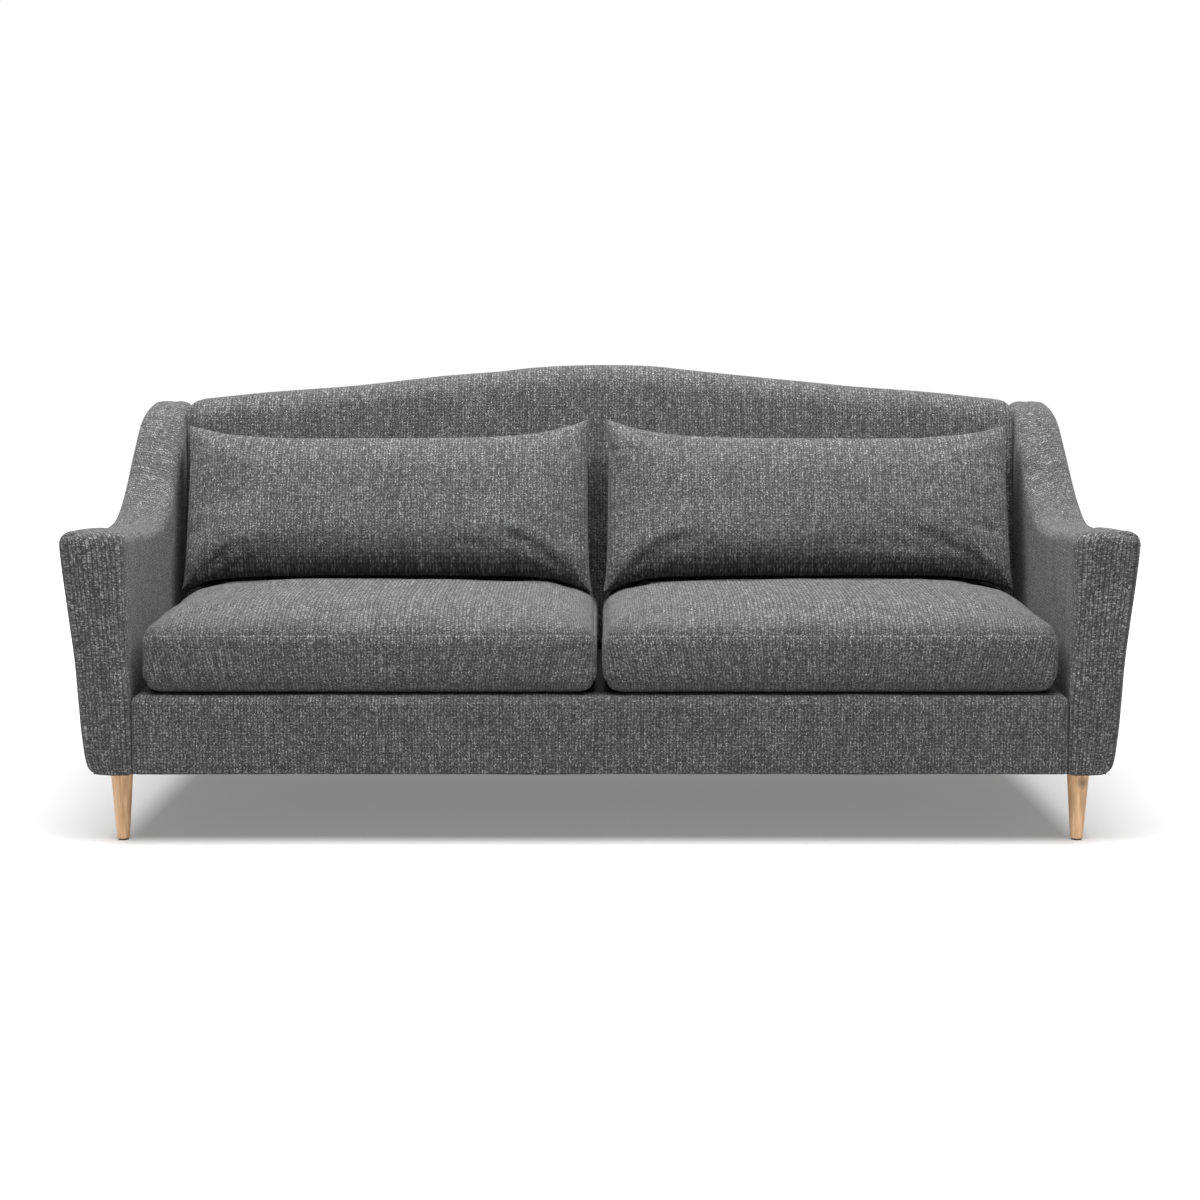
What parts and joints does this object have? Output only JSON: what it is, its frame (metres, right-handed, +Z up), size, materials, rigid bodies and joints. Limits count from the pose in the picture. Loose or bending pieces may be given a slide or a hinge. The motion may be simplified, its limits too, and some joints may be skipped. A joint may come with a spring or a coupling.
{
  "type": "three-seat sofa",
  "caption": "Upholstered three-seat sofa with swept arms, an arched back, loose seat and back cushions and turned wooden legs.",
  "frame": {"origin": "on the floor, below the middle of the sofa's overall length and depth", "axes": "+X along the sofa towards the right as one looks at its front, -Y towards the person in front of it, +Z up"},
  "size_m": [2.0984, 0.9198, 0.918],
  "materials": {
    "upholstery": "slubby plain weave, matt",
    "deck_cloth": "plain cloth, matt",
    "dust_cloth": "thin non-woven cloth, matt",
    "foam": "open cell foam, matt",
    "filling": "quilted fibre, matt",
    "plywood": "raw plywood",
    "frame_timber": "raw sawn timber",
    "leg_wood": "pale oak, satin lacquer",
    "webbing": "woven strap, matt",
    "spring_steel": "dark drawn wire",
    "zinc_steel": "zinc plated",
    "nylon": "matt",
    "zip": "woven tape with a nylon coil",
    "zip_metal": "dark enamel"
  },
  "bodies": {
    "frame": {"arm_cover_left": "upholstery", "arm_cover_right": "upholstery", "arm_inner_panel_left": "plywood", "arm_inner_panel_right": "plywood", "arm_outer_panel_left": "plywood", "arm_outer_panel_right": "plywood", "arm_padding_left": "foam", "arm_padding_right": "foam", "arm_posts_left": "frame_timber", "arm_posts_right": "frame_timber", "arm_rails_left": "frame_timber", "arm_rails_right": "frame_timber", "back_cover": "upholstery", "back_lower_rail": "frame_timber", "back_padding": "foam", "back_posts": "frame_timber", "back_top_rail": "frame_timber", "back_webbing": "webbing", "corner_blocks": "frame_timber", "deck_cover": "deck_cloth", "deck_pad": "foam", "dust_cover": "dust_cloth", "frame_bolts": "zinc_steel", "front_border_cover": "upholstery", "front_border_padding": "foam", "front_rail": "frame_timber", "leg_front_left": "leg_wood", "leg_front_right": "leg_wood", "leg_glides": "nylon", "leg_hanger_bolts": "zinc_steel", "leg_plate_screws": "zinc_steel", "leg_plates": "zinc_steel", "leg_rear_left": "leg_wood", "leg_rear_right": "leg_wood", "outside_back_cover": "upholstery", "rear_rail": "frame_timber", "seat_center_brace": "frame_timber", "seat_side_rail_left": "frame_timber", "seat_side_rail_right": "frame_timber", "seat_springs": "spring_steel", "spring_clips": "zinc_steel", "spring_tie_wires": "spring_steel"},
    "seat_cushion_left": {"seat_cushion_cover_left": "upholstery", "seat_cushion_core_left": "foam", "seat_zip_left": "zip"},
    "back_cushion_left": {"back_cushion_cover_left": "upholstery", "back_cushion_filling_left": "filling", "back_zip_left": "zip"},
    "seat_slider_left": {"seat_zip_slider_left": "zip_metal"},
    "back_slider_left": {"back_zip_slider_left": "zip_metal"},
    "seat_cushion_right": {"seat_cushion_cover_right": "upholstery", "seat_cushion_core_right": "foam", "seat_zip_right": "zip"},
    "back_cushion_right": {"back_cushion_cover_right": "upholstery", "back_cushion_filling_right": "filling", "back_zip_right": "zip"},
    "seat_slider_right": {"seat_zip_slider_right": "zip_metal"},
    "back_slider_right": {"back_zip_slider_right": "zip_metal"}
  },
  "joints": [
    {"name": "seat_cushion_lift_out_left", "type": "slide", "parent": "frame", "child": "seat_cushion_left", "axis": [0, -1, 0], "range_m": [0, 0.75]},
    {"name": "back_cushion_lift_off_left", "type": "slide", "parent": "frame", "child": "back_cushion_left", "axis": [0, 0, 1], "range_m": [0, 0.5]},
    {"name": "seat_cushion_lift_out_right", "type": "slide", "parent": "frame", "child": "seat_cushion_right", "axis": [0, -1, 0], "range_m": [0, 0.75]},
    {"name": "back_cushion_lift_off_right", "type": "slide", "parent": "frame", "child": "back_cushion_right", "axis": [0, 0, 1], "range_m": [0, 0.5]},
    {"name": "seat_zip_run_left", "type": "slide", "parent": "seat_cushion_left", "child": "seat_slider_left", "axis": [-1, 0, 0], "range_m": [0, 0.68]},
    {"name": "back_zip_run_left", "type": "slide", "parent": "back_cushion_left", "child": "back_slider_left", "axis": [-1, 0, 0], "range_m": [0, 0.66]},
    {"name": "seat_zip_run_right", "type": "slide", "parent": "seat_cushion_right", "child": "seat_slider_right", "axis": [1, 0, 0], "range_m": [0, 0.68]},
    {"name": "back_zip_run_right", "type": "slide", "parent": "back_cushion_right", "child": "back_slider_right", "axis": [1, 0, 0], "range_m": [0, 0.66]}
  ]
}
